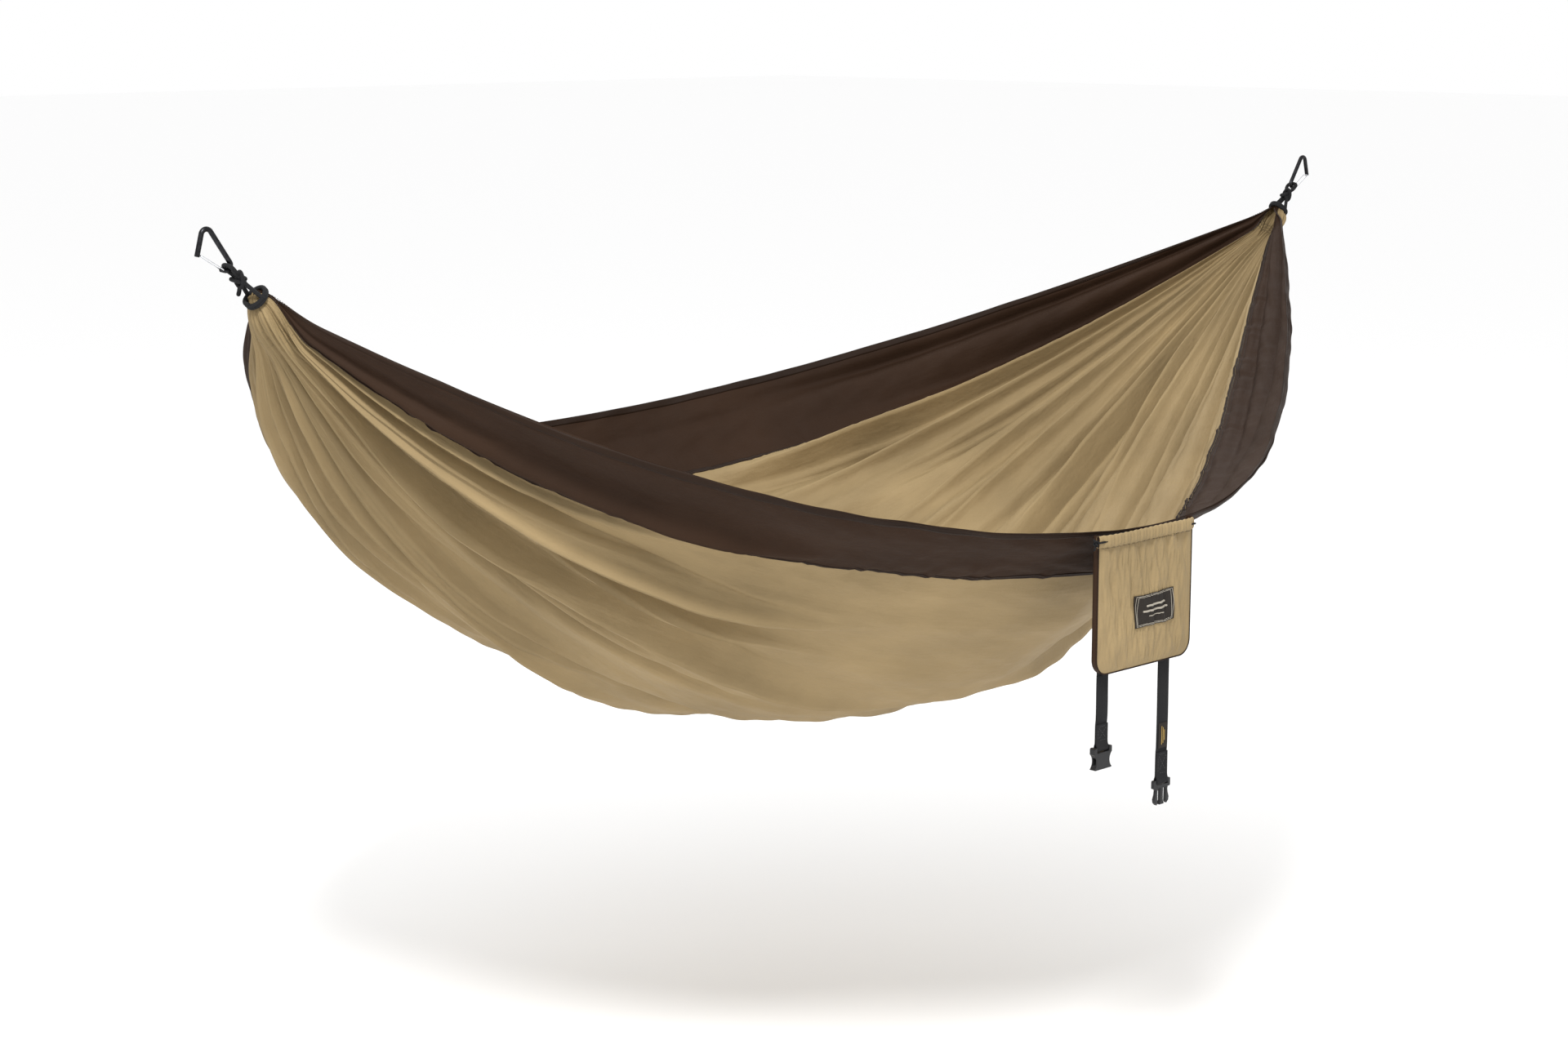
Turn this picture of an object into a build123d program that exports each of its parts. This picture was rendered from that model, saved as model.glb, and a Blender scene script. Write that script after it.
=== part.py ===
from build123d import *

# A double-size camping hammock with gathered ends: three sewn nylon panels, an end cord and
# a wire-gate carabiner at each end, and a storage pouch with compression straps on one hem.
# Millimetres. +X runs from the left end to the right end, -Y is the side with the pouch, +Z is up.
# The origin is half way between the two strap seats, the places where the carabiners hang.

import os
from collections import namedtuple
from math import cos, pi, radians, sin

os.makedirs("parts", exist_ok=True)

# ---- suspension ----
SEAT_SPAN = 2420  # between the two strap seats
CORD_R = 3
CORD_ANGLE = 45  # of the end cord above level
CARABINER_ANGLE = 56  # of the carabiner's spine above level
CORD_RUN = 70  # from the carabiner's basket to the neck of the gathered cloth
NECK_R = 12.7
NECK_H = 6.5  # the bunched cloth that stands up inside the cord's collar

# ---- carabiner, in its own plane: the small bend's centre is its origin ----
ROD_R = 3.5
ROD_TIP_FILLET = 1.2
SMALL_BEND_R = 7
TOP_BEND_R = 8
TOP_BEND = (1, 49)  # centre
NOSE_ANGLE = 49  # of the nose arm from the spine
NOSE_RUN = 30
HINGE_RUN = 7  # straight end of the rod that holds the gate's wire ends
WIRE_R = 0.9
WIRE_HALF_GAP = 4.6  # of the gate's two wires
WIRE_HOLE_R = 0.95
PIN_RUN = 2.6  # how far a wire end goes into the rod
PIN_EDGE = 2.6  # from the pin hole and the catch to the rod's ends

# ---- cloth ----
CLOTH_T = 2  # a stand-in: the real nylon is about 0.1
HALF_CLOTH = 1140  # from the middle to where all the cloth's lines would meet
CLOTH_END_Z = -83
BELLY_SHIFT = 0.178  # the belly hangs left of the middle, as a share of the half length
GATHER_AT = 0.965  # the panels end here, and the gathered bunch begins
SIDE_CROWN = 0.05  # how far a side panel bows out, as a share of its width
STATIONS = 17

# A lengthwise line of the cloth: how far out and down it hangs at the belly, how full it is
# in plan and from the side (1 is straight to a point, 2 a parabola), and its drop at the ends.
ClothLine = namedtuple("ClothLine", "out drop plan side end_drop")
NEAR_HEM = ClothLine(-746, 332, 1.89, 2.24, 0)
NEAR_SEAM = ClothLine(-693, 402, 1.34, 2.65, 11)
KEEL = ClothLine(0, 724, 2, 1.81, 23)
FAR_SEAM = ClothLine(667, 464, 1.34, 2.65, 11)
FAR_HEM = ClothLine(708, 354, 1.89, 2.24, 0)

# ---- pouch ----
POUCH_X = -223
POUCH_W = 205
POUCH_H = 193
POUCH_D = 13
POUCH_CLOTH = 2
POUCH_CORNER = 22
POUCH_BACK_Y = -749.5
POUCH_TOP_Z = -412
HEM_H = 17
HEM_D = 5
DRAWCORD_R = 1.4
DRAWCORD_KNOT_R = 5
DRAWCORD_OUT = 12
LABEL_W = 84
LABEL_H = 45
LABEL_T = 1.2
LABEL_X = -206
LABEL_Z = -527

# ---- compression straps and buckle ----
WEB_W = 25
WEB_T = 1.8
BAND_H = 25
BAND_BELOW = 5  # the band shows this far under the pouch
SHORT_X = -298
LONG_X = -163
SHORT_RUN = 100  # from hinge to buckle bar
LONG_RUN = 172
SHORT_DOUBLED = 34  # where the webbing is sewn back on itself above the bar
LONG_DOUBLED = 42
TAG_W = 19
TAG_H = 36
TAG_T = 0.8
TAG_DROP = 88  # from the long strap's hinge to the tag's top
GAP = 0.3  # between pieces of different bodies
BAR_R = 1.9
LOOP_R = 2.0
BUCKLE_W = 37
BUCKLE_T = 9
SLOT_W = 26.4
SLOT_BELOW = 5.2  # from the bar's centre to the slot's far edge
FEMALE_H = 31
CAVITY_W = 29
CAVITY_T = 5.6
WAIST_R = 14  # of the scoops that open the female half's sides
WAIST_HALF_W = 13.5
WAIST_BELOW = 17
MALE_T = 5
MALE_FRAME_H = 12
TONGUE_W = 5
TONGUE_L = 24
TONGUE_FLARE = 10
ARM_L = 23
ARM_W = 4.2
ARM_T = 4.6
ARM_X = 11
KNUCKLE_R = 2.4
KNUCKLE_GAP = 0.08


def save(builder, label):
    """Name a finished piece and write its STEP file."""
    builder.part.label = label
    export_step(builder.part, f"parts/{label}.step")


# ---- frames of the right end; the left end is its mirror image ----
pull = Vector(cos(radians(CORD_ANGLE)), 0, sin(radians(CORD_ANGLE)))
spine = Vector(cos(radians(CARABINER_ANGLE)), 0, sin(radians(CARABINER_ANGLE)))
gate_side = Vector(spine.Z, 0, -spine.X)
seat = Vector(SEAT_SPAN / 2, 0, 0)
basket = seat - gate_side * TOP_BEND[0] - spine * (TOP_BEND[1] + TOP_BEND_R - ROD_R)
neck = basket - pull * CORD_RUN
carabiner_plane = Plane(origin=basket, x_dir=gate_side, z_dir=(0, -1, 0))
cord_plane = Plane(origin=basket, x_dir=pull, z_dir=(-pull.Z, 0, pull.X))


# ---- cloth ----
def cloth_point(line, t):
    """(y, z) of a lengthwise line at t, which runs from -1 at the left end to 1 at the right."""
    along = abs(t + BELLY_SHIFT * (1 - t * t))
    y = line.out * (1 - along**line.plan)
    z = CLOTH_END_Z - line.end_drop - (line.drop - line.end_drop) * (1 - along**line.side)
    return Vector(y, z)


def circle_centre(a, b, c):
    """The centre of the circle through three points of a plane."""
    p, q = b - a, c - a
    cross = 2 * (p.X * q.Y - p.Y * q.X)
    p2, q2 = p.X**2 + p.Y**2, q.X**2 + q.Y**2
    return a + Vector((q.Y * p2 - p.Y * q2) / cross, (p.X * q2 - q.X * p2) / cross)


def station_plane(t):
    return Plane(origin=(HALF_CLOTH * t, 0, 0), x_dir=(0, 1, 0), z_dir=(1, 0, 0))


def band(inner, outer):
    """A thin face between two three-point arcs, added to the sketch that calls it."""
    with BuildLine() as edge:
        ThreePointArc(*inner)
        Line(inner[2], outer[2])
        ThreePointArc(*outer)
        Line(outer[0], inner[0])
    make_face(edge.edges())


def centre_section(t):
    inner = [cloth_point(line, t) for line in (NEAR_SEAM, KEEL, FAR_SEAM)]
    middle = circle_centre(*inner)
    outer = [p + (p - middle).normalized() * CLOTH_T for p in inner]
    return inner, outer


def side_section(seam_line, hem_line, t):
    seam, hem = cloth_point(seam_line, t), cloth_point(hem_line, t)
    middle = circle_centre(*[cloth_point(line, t) for line in (NEAR_SEAM, KEEL, FAR_SEAM)])
    chord = hem - seam
    outward = Vector(chord.Y, -chord.X).normalized()
    if outward.Y > 0:
        outward = outward * -1
    crown = (seam + hem) * 0.5 + outward * (SIDE_CROWN * chord.length)
    inner = [seam, crown, hem]
    seam_outward = (seam - middle).normalized()
    outer = [seam + seam_outward * CLOTH_T, crown + outward * CLOTH_T, hem + outward * CLOTH_T]
    return inner, outer


stations = [GATHER_AT * sin(pi / 2 * (2 * i / (STATIONS - 1) - 1)) for i in range(STATIONS)]

with BuildPart() as centre_panel:
    for t in stations:
        with BuildSketch(station_plane(t)):
            band(*centre_section(t))
    loft()
save(centre_panel, "centre_panel")

with BuildPart() as near_side_panel:
    for t in stations:
        with BuildSketch(station_plane(t)):
            band(*side_section(NEAR_SEAM, NEAR_HEM, t))
    loft()
save(near_side_panel, "near_side_panel")

with BuildPart() as far_side_panel:
    for t in stations:
        with BuildSketch(station_plane(t)):
            band(*side_section(FAR_SEAM, FAR_HEM, t))
    loft()
save(far_side_panel, "far_side_panel")


# The bunch of gathered cloth, from the cord's neck to the ends of the three panels.
OVAL_POINTS = 24


def gather_sections(side):
    """Three ovals: plane, half width along Y, half height."""
    t = side * GATHER_AT
    hem, keel = cloth_point(NEAR_HEM, t), cloth_point(KEEL, t)
    mouth = Vector(HALF_CLOTH * t, 0, (hem.Y + keel.Y) / 2)
    mouth_size = (abs(hem.X) + 5, (hem.Y - keel.Y) / 2 + 7)
    neck_at = Vector(side * neck.X, 0, neck.Z)
    out_dir = Vector(side * pull.X, 0, pull.Z)
    bulge = (mouth + neck_at) * 0.5 + Vector(side * 9, 0, 0)
    bulge_dir = (out_dir + Vector(side, 0, 0)).normalized()
    bulge_size = ((NECK_R + mouth_size[0]) / 2, (NECK_R + mouth_size[1]) / 2 + 4)
    return [
        (Plane(origin=neck_at, x_dir=(0, 1, 0), z_dir=out_dir * side), (NECK_R, NECK_R)),
        (Plane(origin=bulge, x_dir=(0, 1, 0), z_dir=bulge_dir * side), bulge_size),
        (Plane(origin=mouth, x_dir=(0, 1, 0), z_dir=(1, 0, 0)), mouth_size),
    ]


def oval_points(half_width, half_height):
    """Corners of a many-sided oval; the same corner of each oval is joined, with no twist."""
    angles = [2 * pi * k / OVAL_POINTS for k in range(OVAL_POINTS)]
    return [(half_width * cos(a), half_height * sin(a)) for a in angles]


for side, end in ((-1, "left"), (1, "right")):
    sections = gather_sections(side)
    with BuildPart() as gather:
        for plane, (half_width, half_height) in sections:
            with BuildSketch(plane):
                with BuildLine():
                    Polyline(*oval_points(half_width, half_height), close=True)
                make_face()
        loft(ruled=True)
        with BuildSketch(sections[0][0]):
            with BuildLine():
                Polyline(*oval_points(NECK_R, NECK_R), close=True)
            make_face()
        extrude(amount=side * NECK_H)
    save(gather, f"{end}_end_gather")


# ---- end cords: collar round the neck, two legs, knot and the bight in the carabiner ----
# Distances along the cord are measured from the basket, downwards being negative.
KNOT_TOP = -15
KNOT_END = -41
KNOT_R = 10.5
BIGHT_HALF = 9
BIGHT_SHOULDER = -13
BIGHT_RADII = [8, BIGHT_HALF - 0.2, BIGHT_HALF - 0.2, 8]
COLLAR_IN_R = NECK_R + GAP
COLLAR_H = 11.6  # two turns of cord, one beside the other
COLLAR_AT = 0.7 + COLLAR_H / 2 - CORD_RUN

with BuildPart() as right_end_cord:
    with BuildLine(cord_plane) as bight:
        FilletPolyline(
            (KNOT_TOP - 5, -3),
            (BIGHT_SHOULDER, -BIGHT_HALF),
            (0, -BIGHT_HALF),
            (0, BIGHT_HALF),
            (BIGHT_SHOULDER, BIGHT_HALF),
            (KNOT_TOP - 5, 3),
            radius=BIGHT_RADII,
        )
    with BuildSketch(bight.line ^ 0):
        Circle(CORD_R)
    sweep()
    for leg in (-1, 1):
        with BuildLine(cord_plane) as leg_path:
            Line((KNOT_END + 4, 4 * leg), (COLLAR_AT, leg * (COLLAR_IN_R + CORD_R)))
        with BuildSketch(leg_path.line ^ 0):
            Circle(CORD_R - 0.1)
        sweep(path=leg_path.line)
    with BuildSketch(Plane(origin=basket, x_dir=pull, z_dir=(0, -1, 0))):
        with BuildLine():
            ThreePointArc((KNOT_TOP, 3), ((KNOT_TOP + KNOT_END) / 2, KNOT_R), (KNOT_END, 3))
            Polyline((KNOT_END, 3), (KNOT_END, 0), (KNOT_TOP, 0), (KNOT_TOP, 3))
        make_face()
        with Locations((COLLAR_AT, COLLAR_IN_R + CORD_R)):
            RectangleRounded(COLLAR_H, 2 * CORD_R, CORD_R - 0.2)
    revolve(axis=Axis(basket, pull))
save(right_end_cord, "right_end_cord")
print("end cord: bight radii", BIGHT_RADII)

with BuildPart() as left_end_cord:
    add(mirror(right_end_cord.part, about=Plane.YZ))
save(left_end_cord, "left_end_cord")

# ---- carabiner ----
nose_dir = Vector(sin(radians(NOSE_ANGLE)), -cos(radians(NOSE_ANGLE)))
nose_in = Vector(nose_dir.Y, -nose_dir.X)
nose_start = Vector(*TOP_BEND) - nose_in * TOP_BEND_R
nose_end = nose_start + nose_dir * NOSE_RUN
small_end = Vector(cos(radians(-40)), sin(radians(-40))) * SMALL_BEND_R
hinge_dir = Vector(sin(radians(40)), cos(radians(40)))
rod_end = small_end + hinge_dir * HINGE_RUN
gate_pivot = small_end + hinge_dir * (HINGE_RUN - PIN_EDGE)
catch = nose_end - nose_dir * PIN_EDGE + nose_in * (ROD_R + 0.3)  # the shut gate's crossbar


def on_rod(point, across=0.0):
    """A point of the carabiner's plane in the object's frame."""
    return carabiner_plane.from_local_coords(Vector(point.X, point.Y, across))


with BuildPart() as right_carabiner:
    with BuildLine(carabiner_plane) as rod:
        Line((rod_end.X, rod_end.Y), (small_end.X, small_end.Y))
        CenterArc((0, 0), SMALL_BEND_R, -40, -140)
        Line((-SMALL_BEND_R, 0), (-SMALL_BEND_R, TOP_BEND[1]))
        CenterArc(TOP_BEND, TOP_BEND_R, 180, -(180 - NOSE_ANGLE))
        Line((nose_start.X, nose_start.Y), (nose_end.X, nose_end.Y))
    with BuildSketch(Plane(origin=on_rod(rod_end), z_dir=on_rod(rod_end) - on_rod(small_end))):
        Circle(ROD_R)
    sweep(path=rod.line)
    fillet(right_carabiner.faces().filter_by(GeomType.PLANE).edges(), ROD_TIP_FILLET)
    for at, radius in ((gate_pivot, WIRE_HOLE_R), (catch, WIRE_R + 0.2)):
        with Locations(Plane(origin=on_rod(at), z_dir=(0, -1, 0))):
            Cylinder(radius, 3 * ROD_R, mode=Mode.SUBTRACT)
save(right_carabiner, "right_carabiner")

with BuildPart() as left_carabiner:
    add(mirror(right_carabiner.part, about=Plane.YZ))
save(left_carabiner, "left_carabiner")

# ---- wire gate: one bent wire whose two ends sit in the rod's cross hole ----
with BuildPart() as right_gate:
    with BuildLine() as wire:
        FilletPolyline(
            on_rod(gate_pivot, ROD_R - PIN_RUN),
            on_rod(gate_pivot, WIRE_HALF_GAP),
            on_rod(catch, WIRE_HALF_GAP),
            on_rod(catch, -WIRE_HALF_GAP),
            on_rod(gate_pivot, -WIRE_HALF_GAP),
            on_rod(gate_pivot, PIN_RUN - ROD_R),
            radius=1.2,
        )
    with BuildSketch(Plane(origin=on_rod(gate_pivot, ROD_R - PIN_RUN), z_dir=(0, -1, 0))):
        Circle(WIRE_R)
    sweep(path=wire.line)
save(right_gate, "right_gate")

with BuildPart() as left_gate:
    add(mirror(right_gate.part, about=Plane.YZ))
save(left_gate, "left_gate")

# ---- pouch ----
pouch_bottom = POUCH_TOP_Z - POUCH_H
pouch_middle_z = POUCH_TOP_Z - POUCH_H / 2
pouch_front_y = POUCH_BACK_Y - POUCH_D
face_plane = Plane(origin=(POUCH_X, POUCH_BACK_Y, pouch_middle_z), x_dir=(1, 0, 0), z_dir=(0, -1, 0))


def pouch_outline(inset=0.0):
    """The pouch's flat shape: square at the mouth, round at the bottom corners."""
    half_w, half_h = POUCH_W / 2 - inset, POUCH_H / 2
    with BuildSketch() as outline:
        with BuildLine():
            FilletPolyline(
                (-half_w, half_h),
                (-half_w, inset - half_h),
                (half_w, inset - half_h),
                (half_w, half_h),
                radius=POUCH_CORNER - inset,
            )
            Line((-half_w, half_h), (half_w, half_h))
        make_face()
    return outline.sketch


pouch_outer, pouch_inner = pouch_outline(), pouch_outline(POUCH_CLOTH)

with BuildPart() as pouch_back:
    with BuildSketch(face_plane):
        add(pouch_outer)
    extrude(amount=POUCH_CLOTH)
save(pouch_back, "pouch_back")

with BuildPart() as pouch_front:
    with BuildSketch(face_plane.offset(POUCH_CLOTH)):
        add(pouch_outer)
    extrude(amount=POUCH_D - POUCH_CLOTH)
    with BuildSketch(face_plane.offset(POUCH_CLOTH)):
        add(pouch_inner)
    extrude(amount=POUCH_D - 2 * POUCH_CLOTH, mode=Mode.SUBTRACT)
save(pouch_front, "pouch_front")

hem_middle = Vector(POUCH_X, pouch_front_y - HEM_D / 2, POUCH_TOP_Z - HEM_H / 2)
with BuildPart() as pouch_hem:
    with Locations(hem_middle):
        Box(POUCH_W, HEM_D, HEM_H)
    with Locations(Plane(origin=hem_middle, z_dir=(1, 0, 0))):
        Cylinder(DRAWCORD_R + 0.2, 2 * POUCH_W, mode=Mode.SUBTRACT)
save(pouch_hem, "pouch_hem")

cord_left = Vector(POUCH_X - POUCH_W / 2 - DRAWCORD_OUT, hem_middle.Y, hem_middle.Z)
cord_length = POUCH_W + DRAWCORD_OUT
with BuildPart() as pouch_drawcord:
    with BuildSketch(Plane(origin=cord_left, x_dir=(1, 0, 0), z_dir=(0, -1, 0))):
        with Locations((cord_length / 2, DRAWCORD_R / 2)):
            Rectangle(cord_length, DRAWCORD_R)
        with BuildLine():
            CenterArc((0, 0), DRAWCORD_KNOT_R, 0, 180)
            Line((-DRAWCORD_KNOT_R, 0), (DRAWCORD_KNOT_R, 0))
        make_face()
    revolve(axis=Axis(cord_left, (1, 0, 0)))
save(pouch_drawcord, "pouch_drawcord")

with BuildPart() as pouch_label:
    with Locations((LABEL_X, pouch_front_y - LABEL_T / 2, LABEL_Z)):
        Box(LABEL_W, LABEL_T, LABEL_H)
save(pouch_label, "pouch_label")

# ---- webbing band across the back of the pouch, which the two straps hang from ----
strap_y = POUCH_BACK_Y + WEB_T / 2
band_left = SHORT_X - WEB_W / 2
band_right = LONG_X + WEB_W / 2
with BuildPart() as strap_band:
    with Locations(((band_left + band_right) / 2, strap_y, pouch_bottom + BAND_H / 2 - BAND_BELOW)):
        Box(band_right - band_left, WEB_T, BAND_H)
save(strap_band, "strap_band")

hinge_z = pouch_bottom - BAND_BELOW - GAP - WEB_T / 2


def strap(x, run, doubled):
    """Webbing that hangs from its hinge and is sewn back on itself round a buckle bar."""
    side_view = Plane(origin=(x - WEB_W / 2, strap_y, hinge_z), x_dir=(0, 1, 0), z_dir=(1, 0, 0))
    with BuildPart() as webbing:
        with BuildSketch(side_view):
            Circle(WEB_T / 2)
            with Locations((0, -run / 2)):
                Rectangle(WEB_T, run)
            with Locations((0, -run + doubled / 2)):
                Rectangle(2 * WEB_T, doubled)
            with Locations((0, -run)):
                Circle(LOOP_R + WEB_T)
                Circle(LOOP_R, mode=Mode.SUBTRACT)
        extrude(amount=WEB_W)
    return webbing


short_strap = strap(SHORT_X, SHORT_RUN, SHORT_DOUBLED)
save(short_strap, "short_strap")
long_strap = strap(LONG_X, LONG_RUN, LONG_DOUBLED)
save(long_strap, "long_strap")

with BuildPart() as strap_tag:
    tag_z = hinge_z - TAG_DROP - TAG_H / 2
    with Locations((LONG_X, strap_y - WEB_T / 2 - TAG_T / 2, tag_z)):
        Box(TAG_W, TAG_T, TAG_H)
save(strap_tag, "strap_tag")


# ---- side-release buckle: each half hangs from a bar in its strap's loop ----
def buckle_plane(x, run):
    """Local x along the bar, local y up, local z towards the front; origin at the bar's centre."""
    return Plane(origin=(x, strap_y, hinge_z - run), x_dir=(1, 0, 0), z_dir=(0, -1, 0))


def bar_end(plane, thickness, height):
    """The slotted end that both halves share: two cheeks, a slot and the round bar."""
    with BuildSketch(plane.offset(-thickness / 2)) as cheeks:
        with Locations((0, 2.4 - height / 2)):
            RectangleRounded(BUCKLE_W, height, 2.2)
    extrude(cheeks.sketch, amount=thickness)
    slot_height = SLOT_BELOW + 2.4
    with BuildSketch(plane.offset(-thickness)) as slot:
        with Locations((0, 2.5 - slot_height / 2)):
            Rectangle(SLOT_W, slot_height + 0.2)
    extrude(slot.sketch, amount=2 * thickness, mode=Mode.SUBTRACT)
    with Locations(Plane(origin=plane.origin, z_dir=(1, 0, 0))):
        Cylinder(BAR_R, BUCKLE_W - 2)


female_plane = buckle_plane(SHORT_X, SHORT_RUN)
with BuildPart() as female_buckle:
    bar_end(female_plane, BUCKLE_T, FEMALE_H)
    mouth_z = 2.4 - FEMALE_H
    cavity_depth = -mouth_z - SLOT_BELOW - 2.5
    with BuildSketch(female_plane.offset(-CAVITY_T / 2)):
        with Locations((0, mouth_z + cavity_depth / 2)):
            Rectangle(CAVITY_W, cavity_depth)
    extrude(amount=CAVITY_T, mode=Mode.SUBTRACT)
    with BuildSketch(female_plane.offset(-BUCKLE_T)):
        with Locations((-WAIST_HALF_W - WAIST_R, -WAIST_BELOW), (WAIST_HALF_W + WAIST_R, -WAIST_BELOW)):
            Circle(WAIST_R)
    extrude(amount=2 * BUCKLE_T, mode=Mode.SUBTRACT)
save(female_buckle, "female_buckle")

male_plane = buckle_plane(LONG_X, LONG_RUN)
knuckle_y = 2.4 - MALE_FRAME_H - KNUCKLE_R + 1.4
with BuildPart() as male_buckle:
    bar_end(male_plane, MALE_T, MALE_FRAME_H)
    with BuildSketch(male_plane.offset(-MALE_T / 2)):
        with BuildLine():
            tongue_top = 2.6 - MALE_FRAME_H
            tongue_tip = tongue_top - TONGUE_L
            Polyline(
                (-TONGUE_W / 2, tongue_top),
                (-TONGUE_W / 2, tongue_tip + 6),
                (-TONGUE_FLARE / 2, tongue_tip),
                (TONGUE_FLARE / 2, tongue_tip),
                (TONGUE_W / 2, tongue_tip + 6),
                (TONGUE_W / 2, tongue_top),
                close=True,
            )
        make_face()
    extrude(amount=MALE_T)
    with BuildSketch(male_plane.offset(-MALE_T)):
        with Locations((-ARM_X, knuckle_y), (ARM_X, knuckle_y)):
            Circle(KNUCKLE_R + KNUCKLE_GAP)
    extrude(amount=2 * MALE_T, mode=Mode.SUBTRACT)
save(male_buckle, "male_buckle")

# Each arm turns on a round knuckle in the frame, where the real one bends at a thin neck.
for side, label in ((-1, "left"), (1, "right")):
    with BuildPart() as arm:
        with BuildSketch(male_plane.offset(-ARM_T / 2)):
            with Locations((side * ARM_X, knuckle_y)):
                Circle(KNUCKLE_R)
            with BuildLine():
                arm_top = knuckle_y - 0.6
                arm_tip = knuckle_y - ARM_L
                x = side * ARM_X
                Polyline(
                    (x - side * 1.4, arm_top),
                    (x + side * 1.4, arm_top),
                    (x + side * 2.6, knuckle_y - 8),
                    (x + side * (ARM_W + 0.8), arm_tip + 8.5),
                    (x + side * ARM_W, arm_tip + 4),
                    (x, arm_tip),
                    (x - side * 1.6, arm_tip + 3),
                    (x - side * 1.2, knuckle_y - 8),
                    close=True,
                )
            make_face()
        extrude(amount=ARM_T)
    save(arm, f"male_buckle_arm_{label}")

print("strap seat", seat, "basket", basket, "gate pivot", on_rod(gate_pivot), "neck", neck)
print("strap hinge z", hinge_z, "male knuckle", male_plane.from_local_coords(Vector(ARM_X, knuckle_y, 0)))
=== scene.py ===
import math
from collections import namedtuple

import bpy
import numpy as np
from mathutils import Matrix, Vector


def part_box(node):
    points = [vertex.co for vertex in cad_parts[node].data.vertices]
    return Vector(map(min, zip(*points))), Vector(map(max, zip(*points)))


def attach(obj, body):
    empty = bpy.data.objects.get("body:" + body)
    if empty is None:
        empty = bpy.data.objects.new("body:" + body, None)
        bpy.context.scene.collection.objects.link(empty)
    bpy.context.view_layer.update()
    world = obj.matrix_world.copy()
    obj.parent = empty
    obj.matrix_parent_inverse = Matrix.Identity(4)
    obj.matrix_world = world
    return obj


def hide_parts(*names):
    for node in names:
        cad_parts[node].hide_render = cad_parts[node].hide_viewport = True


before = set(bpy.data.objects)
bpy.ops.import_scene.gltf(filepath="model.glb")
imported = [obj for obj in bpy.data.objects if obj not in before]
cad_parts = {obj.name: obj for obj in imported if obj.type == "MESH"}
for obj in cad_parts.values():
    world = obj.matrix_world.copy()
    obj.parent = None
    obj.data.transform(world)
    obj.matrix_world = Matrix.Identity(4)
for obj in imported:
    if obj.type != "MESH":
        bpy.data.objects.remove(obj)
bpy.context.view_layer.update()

# A camping hammock: three gathered nylon panels, end cords with wire-gate carabiners, and a
# storage pouch with buckled straps. Metres, in the CAD model's frame: +X from the left end to
# the right end, -Y the pouch's side, +Z up, the origin half way between the strap seats.

MM = 0.001
rng = np.random.default_rng(11)

# ---- the cloth's shape, as in part.py ----
HALF_CLOTH = 1.140
CLOTH_END_Z = -0.083
BELLY_SHIFT = 0.178
SIDE_CROWN = 0.05
ClothLine = namedtuple("ClothLine", "out drop plan side end_drop")
NEAR_HEM = ClothLine(-0.746, 0.332, 1.89, 2.24, 0)
NEAR_SEAM = ClothLine(-0.693, 0.402, 1.34, 2.65, 0.011)
KEEL = ClothLine(0, 0.724, 2, 1.81, 0.023)
FAR_SEAM = ClothLine(0.667, 0.464, 1.34, 2.65, 0.011)
FAR_HEM = ClothLine(0.708, 0.354, 1.89, 2.24, 0)

# The flat cloth: width across all three panels is u, from the near hem to the far hem.
SIDE_W = 0.150
CENTRE_W = 1.580
CLOTH_W = CENTRE_W + 2 * SIDE_W
CLOTH_L = 2.72
NEAR_SEAM_U = SIDE_W
FAR_SEAM_U = SIDE_W + CENTRE_W

# ---- the suspension, as in part.py ----
CORD_R = 3 * MM
CORD_ANGLE = math.radians(45)
CORD_RUN = 70 * MM
NECK_R = 12.7 * MM
BASKET = Vector((1.17925, 0, -0.04379))
PULL = Vector((math.cos(CORD_ANGLE), 0, math.sin(CORD_ANGLE)))
NECK = BASKET - PULL * CORD_RUN


# =============================================================== mesh helpers
def new_object(name, points, faces, body):
    """A smooth-shaded mesh piece that rides on a body."""
    mesh = bpy.data.meshes.new(name)
    mesh.from_pydata([tuple(p) for p in points], [], faces)
    mesh.polygons.foreach_set("use_smooth", [True] * len(mesh.polygons))
    piece = bpy.data.objects.new(name, mesh)
    bpy.context.scene.collection.objects.link(piece)
    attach(piece, body)
    return piece


def grid_faces(rows, columns, around=False, start=0):
    """Quads of a rows by columns grid; around joins its last column to its first."""
    faces = []
    for i in range(rows - 1):
        for j in range(columns if around else columns - 1):
            k = (j + 1) % columns
            a, b = start + i * columns, start + (i + 1) * columns
            faces.append((a + j, b + j, b + k, a + k))
    return faces


def point_attribute(piece, name, values):
    """Store one number for each point, for the material to read."""
    layer = piece.data.attributes.new(name, "FLOAT", "POINT")
    layer.data.foreach_set("value", np.asarray(values, dtype=np.float32).ravel())


def smoothstep(x):
    x = np.clip(x, 0, 1)
    return x * x * (3 - 2 * x)


# =============================================================== cloth: base shape
END_T = 0.955  # beyond this station the cloth is gathered towards the neck
GATHER_ROWS = 24
STATION_ROWS = 350
COLLAR_RISE = 8 * MM  # how far the bunched cloth goes up inside the cord's collar
NECK_SPREAD = math.radians(165)  # of the hems from the keel, round the neck
FLARE = 24 * MM  # how far the bunch swells below the collar
FAR_SEAM_RISE = 0.7  # how far the far seam climbs to its hem at the left end, where it bunches
station_s = np.linspace(-1, 1, STATION_ROWS)
station_t = END_T * (0.6 * station_s + 0.4 * np.sin(math.pi / 2 * station_s))


def line_at(line, t):
    """(y, z) of a lengthwise line of the cloth."""
    along = np.abs(t + BELLY_SHIFT * (1 - t * t))
    y = line.out * (1 - along**line.plan)
    z = CLOTH_END_Z - line.end_drop - (line.drop - line.end_drop) * (1 - along**line.side)
    return y, z


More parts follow.
